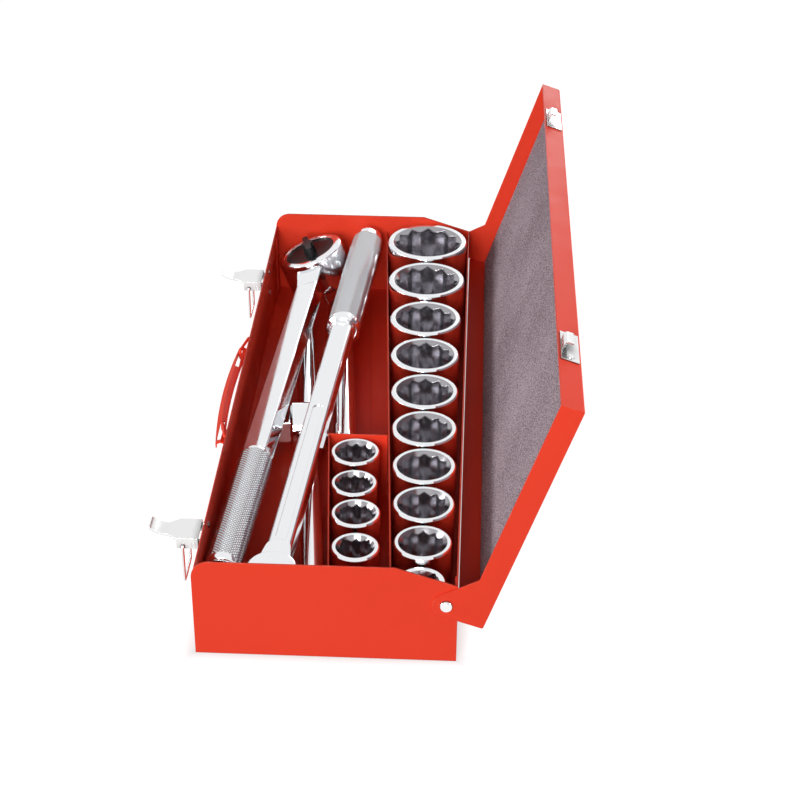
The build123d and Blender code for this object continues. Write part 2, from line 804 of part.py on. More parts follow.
shank_y = ratchet_shank_width / 2 - ratchet_shank_round
shank_z = ratchet_shank_thick / 2 - ratchet_shank_round
shank_drop = shank_y * tip_sin + shank_z * tip_cos + ratchet_shank_round
shank_side = shank_y * tip_cos + shank_z * tip_sin + ratchet_shank_round
ratchet_share = (t_head_x - ratchet_head_x) / (ratchet_end_x - ratchet_head_x)
ratchet_head_y = inner_front + ratchet_head_side
ratchet_end_y = inner_front + ratchet_grip_wall_gap + ratchet_grip_radius
ratchet_cross_y = ratchet_head_y + ratchet_share * (ratchet_end_y - ratchet_head_y)
ratchet_drop = (ratchet_face + drive_length) * tip_cos + drive_corner * tip_sin
ratchet_head_height = floor + ratchet_seat + ratchet_drop
ratchet_cross_height = t_head_height + drive_square / 2 + ratchet_rest_gap + shank_drop
ratchet_end_height = ratchet_head_height + (ratchet_cross_height - ratchet_head_height) / ratchet_share
ratchet_head_place = (ratchet_head_x, ratchet_head_y, ratchet_head_height)
ratchet_end_place = (ratchet_end_x, ratchet_end_y, ratchet_end_height)
t_head_y = ratchet_cross_y + shank_side + t_head_side_gap + t_head_front

flex_share = (fork_x - t_head_x) / (fork_x - flex_end_x)
flex_fork_height = t_head_height + t_rod_radius + fork_thick / 2
flex_cross_height = t_head_height + t_head_radius + flex_rest_gap + flex_shank_thick / 2
flex_end_height = flex_fork_height + (flex_cross_height - flex_fork_height) / flex_share
flex_fork_place = (fork_x, inner_front + flex_fork_side, flex_fork_height)
flex_end_place = (flex_end_x, inner_front + flex_end_side, flex_end_height)

# Ratchet
ratchet_plane = tool_plane(ratchet_head_place, ratchet_end_place, ratchet_roll)
ratchet_reach = reach(ratchet_head_place, ratchet_end_place)
ratchet_axis = Axis(ratchet_plane.origin, ratchet_plane.x_dir)
cover_low = ratchet_face - cover_depth - cover_thick
gear_low = -ratchet_face + ratchet_floor + run_gap
carrier_low = cover_low - carrier_thick - run_gap
hub_radius = gear_radius - 2 * gear_tooth
grip_start = ratchet_reach - ratchet_grip_length
with BuildPart(ratchet_plane) as ratchet_handle:
    Cylinder(ratchet_head_radius, ratchet_head_thick)
    fillet(ratchet_handle.edges().filter_by(GeomType.CIRCLE), ratchet_head_round)
    with BuildSketch(end_on(ratchet_plane, ratchet_neck_start)):
        RectangleRounded(ratchet_neck_width, ratchet_neck_thick, ratchet_neck_round)
    with BuildSketch(end_on(ratchet_plane, ratchet_neck_end)):
        RectangleRounded(ratchet_shank_width, ratchet_shank_thick, ratchet_shank_round)
    loft()
    with BuildSketch(end_on(ratchet_plane, ratchet_neck_end)):
        RectangleRounded(ratchet_shank_width, ratchet_shank_thick, ratchet_shank_round)
    extrude(amount=grip_start - ratchet_neck_end)
    with BuildSketch(ratchet_plane):
        with BuildLine():
            shoulder = ratchet_grip_shoulder
            core = ratchet_grip_radius - shoulder
            Line((grip_start, 0), (grip_start, core))
            CenterArc((grip_start + shoulder, core), shoulder, 180, -90)
            Line((grip_start + shoulder, ratchet_grip_radius), (ratchet_reach - shoulder, ratchet_grip_radius))
            CenterArc((ratchet_reach - shoulder, core), shoulder, 90, -90)
            Polyline((ratchet_reach, core), (ratchet_reach, 0), (grip_start, 0))
        make_face()
    revolve(axis=ratchet_axis)
    with Locations((0, 0, -ratchet_face + ratchet_floor)):
        Cylinder(cavity_radius, ratchet_head_thick, align=LOW, mode=Mode.SUBTRACT)
    with Locations((0, 0, cover_low)):
        Cylinder(cover_radius + pin_clearance, ratchet_head_thick, align=LOW, mode=Mode.SUBTRACT)
    Cylinder(hub_radius + pin_clearance, 2 * ratchet_head_thick, mode=Mode.SUBTRACT)
keep(ratchet_handle, "ratchet_handle")

with BuildPart(ratchet_plane) as ratchet_gear:
    with BuildSketch(ratchet_plane.offset(gear_low)):
        Circle(gear_radius)
        with PolarLocations(gear_radius, gear_teeth):
            Rectangle(gear_tooth, gear_tooth, rotation=45, mode=Mode.SUBTRACT)
    extrude(amount=gear_thick)
keep(ratchet_gear, "ratchet_gear")

with BuildPart(ratchet_plane) as ratchet_drive:
    with BuildSketch(ratchet_plane.offset(-ratchet_face)):
        Circle(hub_radius)
    extrude(amount=gear_low + ratchet_face)
    drive_root = Plane(
        origin=ratchet_plane.offset(-ratchet_face).origin,
        x_dir=ratchet_plane.x_dir,
        z_dir=ratchet_plane.z_dir * -1,
    )
    ratchet_ball_place = square_drive(drive_root, drive_length, 45)
keep(ratchet_drive, "ratchet_drive")
make_ball(ratchet_ball_place, "ratchet_ball")

with BuildPart(ratchet_plane) as ratchet_pawl:
    with BuildSketch(ratchet_plane.offset(gear_low + 2)):
        Circle(cavity_radius - run_gap)
        Circle(gear_radius + run_gap, mode=Mode.SUBTRACT)
        with BuildLine():
            wedge_y = 2 * cavity_radius * tan(radians(pawl_half_angle))
            Polyline((0, 0), (2 * cavity_radius, wedge_y), (2 * cavity_radius, -wedge_y), close=True)
        make_face(mode=Mode.INTERSECT)
    extrude(amount=carrier_low - gear_low - 2)
keep(ratchet_pawl, "ratchet_pawl")

with BuildPart(ratchet_plane) as ratchet_cover:
    with BuildSketch(ratchet_plane.offset(cover_low)):
        Circle(cover_radius)
        Circle(selector_stem + pin_clearance, mode=Mode.SUBTRACT)
    extrude(amount=cover_thick)
keep(ratchet_cover, "ratchet_cover")

with BuildPart(ratchet_plane) as ratchet_ring:
    with BuildSketch(ratchet_plane.offset(cover_low + cover_thick)):
        Circle(cover_radius)
        Circle(cover_radius - ring_width, mode=Mode.SUBTRACT)
    extrude(amount=ring_thick)
keep(ratchet_ring, "ratchet_ring")

with BuildPart(ratchet_plane) as ratchet_selector:
    selector_low = cover_low + cover_thick + run_gap
    with BuildSketch(ratchet_plane.offset(carrier_low)):
        Circle(cavity_radius - run_gap)
    extrude(amount=carrier_thick)
    with BuildSketch(ratchet_plane.offset(carrier_low)):
        Circle(selector_stem)
    extrude(amount=selector_low - carrier_low)
    with BuildSketch(ratchet_plane.offset(selector_low)):
        SlotOverall(selector_length, selector_width, rotation=selector_turn)
        Circle(1.4 * selector_stem)
    extrude(amount=selector_height, taper=4)
keep(ratchet_selector, "ratchet_selector")

# Flex bar
flex_plane = tool_plane(flex_fork_place, flex_end_place)
flex_reach = reach(flex_fork_place, flex_end_place)
flex_axis = Axis(flex_plane.origin, flex_plane.x_dir)
flex_grip_start = flex_reach - flex_grip_length
flex_shank_end = flex_grip_start - flex_collar_length
with BuildPart(flex_plane) as flex_handle:
    with BuildSketch(flex_plane):
        Circle(fork_radius)
        with Locations((fork_run, 0)):
            Circle(fork_radius)
        make_hull()
    extrude(amount=fork_thick / 2, both=True)
    for side in (0, -1):
        fillet(flex_handle.edges().group_by(Axis(flex_plane.origin, flex_plane.z_dir))[side], 2)
    with BuildSketch(flex_plane):
        with Locations((fork_run, 0)):
            Circle(fork_neck_radius)
        with Locations((fork_reach, 0)):
            Circle(flex_shank_width / 2)
        make_hull()
    extrude(amount=fork_neck_thick / 2, both=True)
    with BuildSketch(end_on(flex_plane, fork_reach)):
        RectangleRounded(flex_shank_width, flex_shank_thick, flex_shank_round)
    extrude(amount=flex_shank_end - fork_reach)
    with BuildSketch(flex_plane):
        with BuildLine():
            dome_start = flex_reach - flex_grip_radius
            Polyline(
                (flex_reach, 0),
                (flex_shank_end, 0),
                (flex_shank_end, flex_collar_radius - 1.5),
                (flex_shank_end + 1.5, flex_collar_radius),
                (flex_grip_start - 1.5, flex_collar_radius),
                (flex_grip_start - 1.5, flex_grip_radius - 2),
                (flex_grip_start + 0.5, flex_grip_radius),
                (dome_start, flex_grip_radius),
            )
            CenterArc((dome_start, 0), flex_grip_radius, 0, 90)
        make_face()
    revolve(axis=flex_axis)
    slot_half = knuckle_radius + run_gap
    with Locations(((slot_half - 2 * fork_radius) / 2, 0, 0)):
        Box(slot_half + 2 * fork_radius, 3 * fork_radius, knuckle_thick + 2 * fork_gap, mode=Mode.SUBTRACT)
    Cylinder(flex_pin_radius, 2 * fork_thick, mode=Mode.SUBTRACT)
    with BuildSketch(flex_plane.offset(flex_shank_thick / 2 - flex_panel_depth)):
        with Locations((flex_panel_start + flex_panel_length / 2, 0)):
            SlotOverall(flex_panel_length, flex_panel_width)
    extrude(amount=2 * flex_panel_depth, mode=Mode.SUBTRACT)
keep(flex_handle, "flex_handle")

with BuildPart(flex_plane) as flex_pin:
    Cylinder(flex_pin_radius, fork_thick + 1)
keep(flex_pin, "flex_pin")

with BuildPart(flex_plane) as flex_head:
    collar_start = fork_radius + 1
    square_start = collar_start + flex_head_collar
    with BuildSketch(flex_plane):
        Circle(knuckle_radius)
        with Locations((0, collar_start / 2)):
            Rectangle(flex_head_width - 4, collar_start)
    extrude(amount=knuckle_thick / 2, both=True)
    collar_plane = Plane(origin=flex_plane.origin, x_dir=flex_plane.x_dir, z_dir=flex_plane.y_dir)
    with BuildSketch(collar_plane.offset(collar_start)):
        RectangleRounded(flex_head_width, drive_square + 1, 4)
    extrude(amount=flex_head_collar)
    Cylinder(flex_pin_radius + pin_clearance, 2 * fork_thick, mode=Mode.SUBTRACT)
    square_length = flex_head_reach - square_start
    flex_ball_place = square_drive(collar_plane.offset(square_start), square_length, 90)
keep(flex_head, "flex_head")
make_ball(flex_ball_place, "flex_ball")

# Sliding T bar
t_slant = (cos(radians(t_bar_slant)), sin(radians(t_bar_slant)), 0)
t_plane = Plane(origin=(t_head_x, t_head_y, t_head_height), x_dir=t_slant, z_dir=(0, 0, 1))
t_rod_far = (inner_half + t_head_x - t_rod_far_gap) / t_slant[0]
t_rod_near = (inner_half - t_head_x - t_rod_near_gap) / t_slant[0]
with BuildPart(t_plane) as t_bar_rod:
    with Locations(((t_rod_near - t_rod_far) / 2, 0, 0)):
        Cylinder(t_rod_radius, t_rod_near + t_rod_far, rotation=ALONG_X)
    chamfer(t_bar_rod.edges().filter_by(GeomType.CIRCLE), t_rod_chamfer)
keep(t_bar_rod, "t_bar_rod")

with BuildPart(t_plane) as t_bar_head:
    t_front = Plane(origin=t_plane.origin, x_dir=t_plane.x_dir, z_dir=t_plane.y_dir * -1)
    with BuildSketch(t_front.offset(-t_head_rear)):
        Circle(t_head_radius)
    extrude(amount=t_head_front + t_head_rear)
    chamfer(t_bar_head.edges().filter_by(GeomType.CIRCLE), t_head_round)
    t_ball_place = square_drive(t_front.offset(t_head_front), drive_length, 0)
    Cylinder(t_rod_radius + pin_clearance, 4 * t_head_radius, rotation=ALONG_X, mode=Mode.SUBTRACT)
keep(t_bar_head, "t_bar_head")
make_ball(t_ball_place, "t_bar_ball")

# Extension bar
extension_far_x = -inner_half + extension_far_gap
extension_near_x = short_divider_x - extension_near_gap
extension_far_place = (extension_far_x, divider_y(extension_far_x) - extension_far_side)
extension_near_place = (extension_near_x, divider_y(extension_near_x) - extension_near_side)
extension_span = hypot(
    extension_near_place[0] - extension_far_place[0],
    extension_near_place[1] - extension_far_place[1],
)
extension_share = extension_end_length / extension_span
extension_seat = floor + seat_gap
extension_low = extension_seat + extension_radius + extension_ring
extension_rest = extension_seat + extension_end_radius
extension_high = (extension_rest - extension_share * extension_low) / (1 - extension_share)
extension_far = (*extension_far_place, extension_high)
extension_near = (*extension_near_place, extension_low)
extension_plane = tool_plane(extension_far, extension_near)
extension_reach = reach(extension_far, extension_near)
extension_axis = Axis(extension_plane.origin, extension_plane.x_dir)
with BuildPart(extension_plane) as extension_bar:
    bar_end = extension_reach - drive_length
    ring_start = bar_end - extension_ring_length
    with BuildSketch(extension_plane):
        with BuildLine():
            Polyline(
                (0, 0),
                (0, extension_end_radius - 1),
                (1, extension_end_radius),
                (extension_end_length, extension_end_radius),
                (extension_end_length + extension_taper, extension_radius),
                (ring_start, extension_radius),
                (ring_start, extension_radius + extension_ring),
                (bar_end - 1, extension_radius + extension_ring),
                (bar_end, extension_radius),
                (bar_end, 0),
                close=True,
            )
        make_face()
    revolve(axis=extension_axis)
    extension_ball_place = square_drive(end_on(extension_plane, bar_end), drive_length, 90)
    with BuildSketch(end_on(extension_plane)):
        opening = drive_square + 2 * drive_socket_gap
        RectangleRounded(opening, opening, drive_round)
    extrude(amount=drive_length + 2, mode=Mode.SUBTRACT)
keep(extension_bar, "extension_bar")
make_ball(extension_ball_place, "extension_ball")
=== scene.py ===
import bpy
import json
from math import cos, pi, radians, sin
from mathutils import Matrix, Vector, noise


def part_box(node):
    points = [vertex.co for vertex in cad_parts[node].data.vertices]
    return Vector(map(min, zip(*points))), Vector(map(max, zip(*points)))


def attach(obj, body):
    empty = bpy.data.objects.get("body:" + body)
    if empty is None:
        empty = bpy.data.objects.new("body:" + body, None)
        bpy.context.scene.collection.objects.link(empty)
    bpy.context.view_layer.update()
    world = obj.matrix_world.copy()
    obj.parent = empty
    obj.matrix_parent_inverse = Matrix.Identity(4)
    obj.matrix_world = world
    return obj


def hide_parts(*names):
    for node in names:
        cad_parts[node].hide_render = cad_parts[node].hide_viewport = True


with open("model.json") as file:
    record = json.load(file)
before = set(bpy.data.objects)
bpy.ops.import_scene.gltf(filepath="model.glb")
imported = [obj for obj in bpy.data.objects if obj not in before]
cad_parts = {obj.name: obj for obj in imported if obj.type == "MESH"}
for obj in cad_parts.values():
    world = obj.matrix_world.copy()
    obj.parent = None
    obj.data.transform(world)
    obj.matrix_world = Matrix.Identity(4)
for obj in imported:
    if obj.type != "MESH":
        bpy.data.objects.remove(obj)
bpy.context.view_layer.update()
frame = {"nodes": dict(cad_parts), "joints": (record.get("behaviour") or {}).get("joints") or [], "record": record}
nodes = frame["nodes"]

# Camera, fitted to the corners of the case and the rims of the sockets
CAMERA_PLACE = Vector((1.20468, 0.08977, 0.76895))
CAMERA_YAW = radians(-2.495)
CAMERA_PITCH = radians(31.08)
CAMERA_ROLL = radians(0.365)
CAMERA_LENS = 80.82
CAMERA_SENSOR = 36
CAMERA_NEAR = 0.01

# Tools, as they lie in the case
RATCHET_HEAD = Vector((-0.22903, -0.04796, 0.04103))
RATCHET_END = Vector((0.22921, -0.07359, 0.04056))
RATCHET_GRIP_RADIUS = 0.0124
RATCHET_GRIP_LENGTH = 0.1436
RATCHET_SHOULDER = 0.004
FLEX_FORK = Vector((0.24303, -0.03819, 0.041))
FLEX_END = Vector((-0.26203, -0.00236, 0.05777))
FLEX_GRIP_RADIUS = 0.0135
FLEX_GRIP_LENGTH = 0.168
FLEX_SHOULDER = 0.003

# Knurls on the two grips; the sleeve's ends turn in by a few depths
KNURL_STEP = 0.0014
KNURL_DEPTH = 0.0004
KNURL_SEAT = 0.00003
KNURL_SEAM = 0.00001
KNURL_END_DEPTHS = 3.0
KNURL_HEIGHT = "knurl_height"

# Sockets, by the width across their flats in millimetres
SOCKETS = (50, 46, 41, 38, 36, 34, 32, 30, 27, 24, 23, 22, 21, 19)
SOCKET_LEAD = 0.0013
SOCKET_CORNER = radians(30)
# Bore surfaces that face up more than this get a painted shade colour
SHADE_FACING_UP_TILT = 0.3
BORE_ROUGHER = 0.1
MM = 0.001

# Foam sheet in the lid
FOAM_EDGE = 0.0018
FOAM_EDGE_TURNS = (0, 25, 50, 75)
FOAM_STEP = 0.006
FOAM_WAVE = 0.0005
FOAM_WAVE_SCALE = 22
FOAM_CELL_WEIGHT = 0.55
FOAM_PALE_AT = 0.42
FOAM_DARK_AT = 0.98

# Colours
WHITE = (1, 1, 1, 1)
RED = (0.77, 0.051, 0.023, 1)
# Paler red for the edges: partly wear, partly a painted highlight
RED_WORN_AND_HIGHLIT = (0.86, 0.2, 0.13, 1)
BLACK = (0.02, 0.02, 0.022, 1)
# Paler black for the edges: partly wear, partly a painted highlight
BLACK_WORN_AND_HIGHLIT = (0.12, 0.12, 0.12, 1)
CHROME = (0.84, 0.85, 0.87, 1)
# Painted shade for the hollows between knurls
GROOVE_PAINTED_SHADE = (0.4, 0.4, 0.42, 1)
PLATING = (0.82, 0.82, 0.82, 1)
# Painted shade for the hollows of plated pieces
PLATING_PAINTED_SHADE = (0.05, 0.045, 0.045, 1)
SATIN = (0.72, 0.71, 0.74, 1)
# Painted shade for the upward-facing lead-in and floor of a socket's bore
BORE_PAINTED_SHADE = (0.36, 0.35, 0.37, 1)
FOAM_PALE = (0.62, 0.5, 0.55, 1)
FOAM_DARK = (0.1, 0.072, 0.085, 1)
FLOOR_GREY = (0.25, 0.25, 0.25, 1)
PAINT_SHADE = 0.72
# How fast the painted shade comes in towards hollows of plated pieces
HOLLOW_SHADE_FALLOFF = 2.0

# Studio
AMBIENT = 0.04
FLOOR_HALF = 4.0
FLOOR_BELOW = 0.0002
FLOOR_GLOW = 0.88
# The last two set where the floor's glow fades out under the case, as a painted shade
SHADE_MARGIN = 0.02
SHADE_FADE = 0.03

# Sockets of a Mix node that mixes colours
MIX_FIRST = 6
MIX_SECOND = 7
MIX_RESULT = 2


def link(piece):
    """Put an object in the scene."""
    bpy.context.scene.collection.objects.link(piece)
    return piece


def set_camera():
    """Camera of the photograph."""
    forward = Vector((
        -cos(CAMERA_YAW) * cos(CAMERA_PITCH),
        sin(CAMERA_YAW) * cos(CAMERA_PITCH),
        -sin(CAMERA_PITCH),
    ))
    level = forward.cross(Vector((0, 0, 1))).normalized()
    upright = level.cross(forward)
    right = level * cos(CAMERA_ROLL) + upright * sin(CAMERA_ROLL)
    up = upright * cos(CAMERA_ROLL) - level * sin(CAMERA_ROLL)
    turn = Matrix((right, up, -forward)).transposed().to_4x4()
    data = bpy.data.cameras.new("camera")
    data.lens = CAMERA_LENS
    data.sensor_width = CAMERA_SENSOR
    data.clip_start = CAMERA_NEAR
    camera = link(bpy.data.objects.new("camera", data))
    camera.matrix_world = Matrix.Translation(CAMERA_PLACE) @ turn
    bpy.context.scene.camera = camera


# Node helpers
def add_node(tree, kind, **settings):
    """New node with its settings."""
    node = tree.nodes.new(kind)
    for name, value in settings.items():
        setattr(node, name, value)
    return node


def feed(tree, target, source):
    """Link a socket, or set it to a plain value."""
    if isinstance(source, bpy.types.NodeSocket):
        tree.links.new(source, target)
    else:
        target.default_value = source


def set_inputs(tree, node, **values):
    """Link or set a node's inputs by their labels, with underscores for spaces."""
    for label, value in values.items():
        feed(tree, node.inputs[label.replace("_", " ")], value)


def math_node(tree, operation, *values, clamp=False):
    """Result of a sum on sockets and plain values."""
    node = add_node(tree, "ShaderNodeMath", operation=operation, use_clamp=clamp)
    for socket, value in zip(node.inputs, values):
        feed(tree, socket, value)
    return node.outputs[0]


def map_range(tree, value, from_low, from_high, to_low=0.0, to_high=1.0):
    """Value moved from one range to another, and kept inside it."""
    node = add_node(tree, "ShaderNodeMapRange")
    set_inputs(tree, node, Value=value, From_Min=from_low, From_Max=from_high, To_Min=to_low, To_Max=to_high)
    return node.outputs["Result"]


def noise_value(tree, place, scale, detail):
    """Cloudy value from 0 to 1."""
    node = add_node(tree, "ShaderNodeTexNoise")
    set_inputs(tree, node, Vector=place, Scale=scale, Detail=detail)
    return node.outputs["Fac"]


def split_axes(tree, vector):
    """X, Y and Z of a vector."""
    node = add_node(tree, "ShaderNodeSeparateXYZ")
    feed(tree, node.inputs[0], vector)
    return node.outputs


def mix_colour(tree, factor, first, second):
    """Colour between two others."""
    mix = add_node(tree, "ShaderNodeMix", data_type="RGBA")
    feed(tree, mix.inputs["Factor"], factor)
    feed(tree, mix.inputs[MIX_FIRST], first)
    feed(tree, mix.inputs[MIX_SECOND], second)
    return mix.outputs[MIX_RESULT]


def bump(tree, height, strength, distance, **normal):
    """Normal of a surface with a height, over another normal where one is given."""
    node = add_node(tree, "ShaderNodeBump")
    set_inputs(tree, node, Height=height, Strength=strength, Distance=distance, **normal)
    return node.outputs["Normal"]


def new_group(name, inputs, outputs):
    """Shader node group with named sockets; inputs are (name, type, value)."""
    group = bpy.data.node_groups.new(name, "ShaderNodeTree")
    for label, kind, value in inputs:
        socket = group.interface.new_socket(label, in_out="INPUT", socket_type=kind)
        if value is not None:
            socket.default_value = value
    for label, kind in outputs:
        group.interface.new_socket(label, in_out="OUTPUT", socket_type=kind)
    given = add_node(group, "NodeGroupInput")
    result = add_node(group, "NodeGroupOutput")
    return group, given.outputs, result


def place_group(tree, group, **values):
    """Outputs of a node group placed in a material."""
    node = add_node(tree, "ShaderNodeGroup", node_tree=group)
    set_inputs(tree, node, **values)
    return node.outputs


# Effects that several finishes share
def make_variation_group():
    """Soft uneven value, for a finish that isn't the same all over."""
    group, given, result = new_group(
        "soft_variation",
        [("Vector", "NodeSocketVector", None), ("Scale", "NodeSocketFloat", 20.0),
         ("Low", "NodeSocketFloat", 0.0), ("High", "NodeSocketFloat", 1.0)],
        [("Value", "NodeSocketFloat")],
    )
    cloud = noise_value(group, given["Vector"], given["Scale"], detail=4.0)
    spread = map_range(
        group, cloud, from_low=0.3, from_high=0.7, to_low=given["Low"], to_high=given["High"])
    set_inputs(group, result, Value=spread)
    return group


def make_edge_group():
    """Rounded normal at sharp edges, and a broken mask of where those edges are, which paint uses for paler edges:
    partly wear, partly a painted highlight.
    """
    group, given, result = new_group(
        "edge_wear_and_highlight",
        [("Vector", "NodeSocketVector", None), ("Radius", "NodeSocketFloat", 0.0006),
         ("Scale", "NodeSocketFloat", 120.0)],
        [("Normal", "NodeSocketVector"), ("Mask", "NodeSocketFloat")],
    )
    bevel = add_node(group, "ShaderNodeBevel", samples=4)
    feed(group, bevel.inputs["Radius"], given["Radius"])
    flat = add_node(group, "ShaderNodeNewGeometry").outputs["Normal"]
    likeness = add_node(group, "ShaderNodeVectorMath", operation="DOT_PRODUCT")
    feed(group, likeness.inputs[0], bevel.outputs["Normal"])
    feed(group, likeness.inputs[1], flat)
    edge = map_range(group, likeness.outputs["Value"], from_low=0.98, from_high=0.72)
    cloud = noise_value(group, given["Vector"], given["Scale"], detail=5.0)
    broken = map_range(group, cloud, from_low=0.42, from_high=0.66)
    set_inputs(
        group, result, Normal=bevel.outputs["Normal"], Mask=math_node(group, "MULTIPLY", edge, broken))
    return group


def make_peel_group():
    """Height of sprayed paint's orange peel, with a finer dust in it."""
    dust_finer = 4.0
    dust_height = 0.2
    group, given, result = new_group(
        "orange_peel",
        [("Vector", "NodeSocketVector", None), ("Scale", "NodeSocketFloat", 420.0)],
        [("Height", "NodeSocketFloat")],
    )
    peel = noise_value(group, given["Vector"], given["Scale"], detail=1.0)
    dust_scale = math_node(group, "MULTIPLY", given["Scale"], dust_finer)
    dust = noise_value(group, given["Vector"], dust_scale, detail=2.0)
    set_inputs(group, result, Height=math_node(group, "MULTIPLY_ADD", dust, dust_height, peel))
    return group


def make_bore_group():
    """Mask of a socket's inside, from its distance to the socket's own axis."""
    group, given, result = new_group(
        "socket_bore",
        [("Vector", "NodeSocketVector", None), ("Centre X", "NodeSocketFloat", 0.0),
         ("Centre Y", "NodeSocketFloat", 0.0), ("Radius", "NodeSocketFloat", 0.01)],
        [("Mask", "NodeSocketFloat")],
    )
    place = split_axes(group, given["Vector"])
    from_x = math_node(group, "SUBTRACT", place["X"], given["Centre X"])
    from_y = math_node(group, "SUBTRACT", place["Y"], given["Centre Y"])
    y_square = math_node(group, "MULTIPLY", from_y, from_y)
    distance = math_node(group, "SQRT", math_node(group, "MULTIPLY_ADD", from_x, from_x, y_square))
    set_inputs(group, result, Mask=math_node(group, "LESS_THAN", distance, given["Radius"]))
    return group


SOFT_VARIATION = make_variation_group()
EDGE_WEAR_AND_HIGHLIGHT = make_edge_group()
ORANGE_PEEL = make_peel_group()
SOCKET_BORE = make_bore_group()


# Finishes
def new_material(name):
    """Material with a Principled shader; gives the tree, the shader and the object coordinates."""
    material = bpy.data.materials.new(name)
    material.use_nodes = True
    tree = material.node_tree
    shader = tree.nodes["Principled BSDF"]
    place = add_node(tree, "ShaderNodeTexCoord").outputs["Object"]
    return material, tree, shader, place


def paint_finish(name, colour, worn_and_highlit, roughness):
    """Sprayed paint on folded sheet, a little paler along its edges: partly wear, partly a painted highlight."""
    material, tree, shader, place = new_material(name)
    edge = place_group(tree, EDGE_WEAR_AND_HIGHLIGHT, Vector=place, Radius=0.0007, Scale=140.0)
    shade = place_group(tree, SOFT_VARIATION, Vector=place, Scale=9.0, Low=0.0, High=0.14)
    dark = tuple(PAINT_SHADE * c for c in colour[:3]) + (1.0,)
    body = mix_colour(tree, shade["Value"], colour, dark)
    rough = place_group(
        tree, SOFT_VARIATION, Vector=place, Scale=35.0, Low=roughness - 0.05, High=roughness + 0.06)
    peel = place_group(tree, ORANGE_PEEL, Vector=place, Scale=420.0)["Height"]
    # Edges take the paler colour, as wear and as a painted highlight
    set_inputs(
        tree, shader,
        Base_Color=mix_colour(tree, edge["Mask"], body, worn_and_highlit),
        Roughness=rough["Value"],
        Specular_IOR_Level=0.11,
        Normal=bump(tree, peel, strength=0.1, distance=0.0004, Normal=edge["Normal"]),
    )
    return material


def chrome_finish():
    """Polished plating on the tools, with faint handling marks."""
    material, tree, shader, place = new_material("chrome")
    rough = place_group(tree, SOFT_VARIATION, Vector=place, Scale=60.0, Low=0.05, High=0.11)
    edge = place_group(tree, EDGE_WEAR_AND_HIGHLIGHT, Vector=place, Radius=0.0004, Scale=200.0)
    set_inputs(
        tree, shader, Base_Color=CHROME, Metallic=1.0, Roughness=rough["Value"], Normal=edge["Normal"])
    return material


def plated_finish():
    """Bright plating on small bent pieces, with a painted shade in their hollows."""
    material, tree, shader, place = new_material("plated_steel")
    # Ambient occlusion darkens the hollows: a painted shade
    open_air = add_node(tree, "ShaderNodeAmbientOcclusion", samples=8)
    set_inputs(tree, open_air, Distance=0.009)
    unshaded = math_node(tree, "POWER", open_air.outputs["AO"], HOLLOW_SHADE_FALLOFF)
    rough = place_group(tree, SOFT_VARIATION, Vector=place, Scale=90.0, Low=0.12, High=0.24)
    edge = place_group(tree, EDGE_WEAR_AND_HIGHLIGHT, Vector=place, Radius=0.0003, Scale=200.0)
    set_inputs(
        tree, shader,
        Base_Color=mix_colour(tree, unshaded, PLATING_PAINTED_SHADE, PLATING),
        Metallic=1.0,
        Roughness=rough["Value"],
        Normal=edge["Normal"],
    )
    return material


def knurl_finish():
    """Plated knurls, with a painted shade in their grooves."""
    material, tree, shader, place = new_material("knurled_chrome")
    height = add_node(tree, "ShaderNodeAttribute", attribute_name=KNURL_HEIGHT).outputs["Fac"]
    rough = place_group(tree, SOFT_VARIATION, Vector=place, Scale=60.0, Low=0.16, High=0.26)
    set_inputs(
        tree, shader,
        Base_Color=mix_colour(tree, height, GROOVE_PAINTED_SHADE, CHROME),
        Metallic=1.0,
        Roughness=rough["Value"],
    )
    return material


def socket_finish(size):
    """Polished outside, satin inside the mouth, with a painted shade on its upward-facing lead-in and floor."""
    low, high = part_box(f"socket_{size}mm")
    centre = (low + high) / 2
    material, tree, shader, place = new_material(f"socket_{size}mm_chrome")
    inside = place_group(
        tree, SOCKET_BORE, Vector=place, Centre_X=centre.x, Centre_Y=centre.y,
        Radius=0.5 * size * MM / cos(SOCKET_CORNER) + SOCKET_LEAD,
    )["Mask"]
    facing = split_axes(tree, add_node(tree, "ShaderNodeNewGeometry").outputs["Normal"])
    # Upward-facing bore surfaces take the painted shade colour
    facing_up_shade = math_node(tree, "GREATER_THAN", facing["Z"], SHADE_FACING_UP_TILT)
    satin_and_shade = mix_colour(tree, facing_up_shade, SATIN, BORE_PAINTED_SHADE)
    marks = place_group(tree, SOFT_VARIATION, Vector=place, Scale=70.0, Low=0.05, High=0.1)["Value"]
    edge = place_group(tree, EDGE_WEAR_AND_HIGHLIGHT, Vector=place, Radius=0.0004, Scale=200.0)
    set_inputs(
        tree, shader,
        Base_Color=mix_colour(tree, inside, CHROME, satin_and_shade),
        Metallic=1.0,
        Roughness=math_node(tree, "MULTIPLY_ADD", inside, BORE_ROUGHER, marks),
        Normal=edge["Normal"],
    )
    return material


